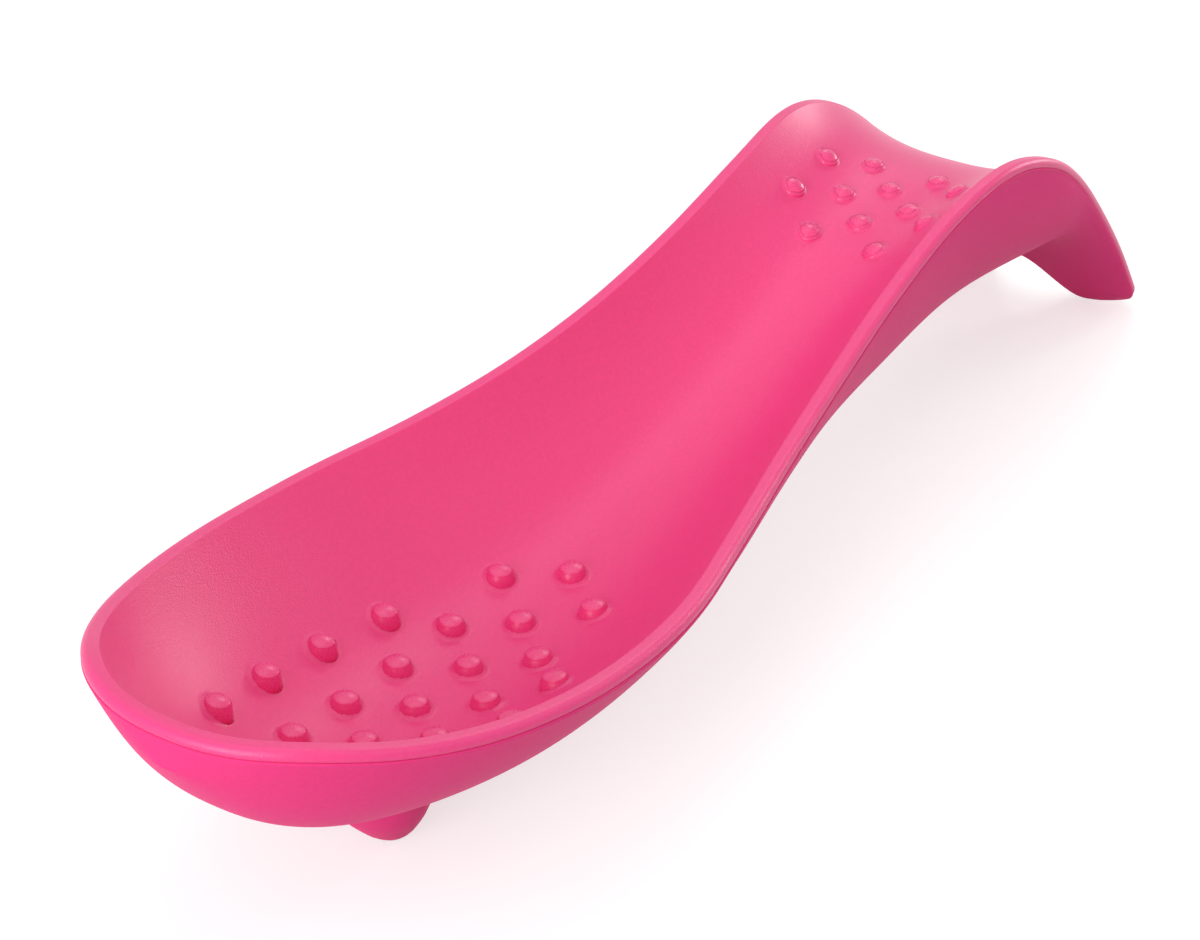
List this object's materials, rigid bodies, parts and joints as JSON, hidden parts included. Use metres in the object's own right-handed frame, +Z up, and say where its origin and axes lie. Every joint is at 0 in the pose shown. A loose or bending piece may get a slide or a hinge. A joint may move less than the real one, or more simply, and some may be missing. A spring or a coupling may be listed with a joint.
{
  "type": "spoon rest",
  "caption": "Long spoon-shaped silicone spoon rest: nubbed bowl, arched trough neck, saddle for the handle and a tail that stands on the table.",
  "frame": {"origin": "centre of the front foot's flat on the table", "axes": "+X from the bowl's nose to the tail, +Y across, +Z up from the table"},
  "size_m": [0.2515, 0.0698, 0.0534],
  "materials": {
    "upper": "matt, fine grain",
    "lower": "matt, fine grain",
    "inner": "matt, fine grain",
    "core": "matt"
  },
  "bodies": {
    "root": {"top_skin": "upper", "under_skin": "lower", "bowl_mat": "inner", "neck_mat": "inner", "spine_core": "core", "front_foot": "lower"}
  },
  "joints": []
}
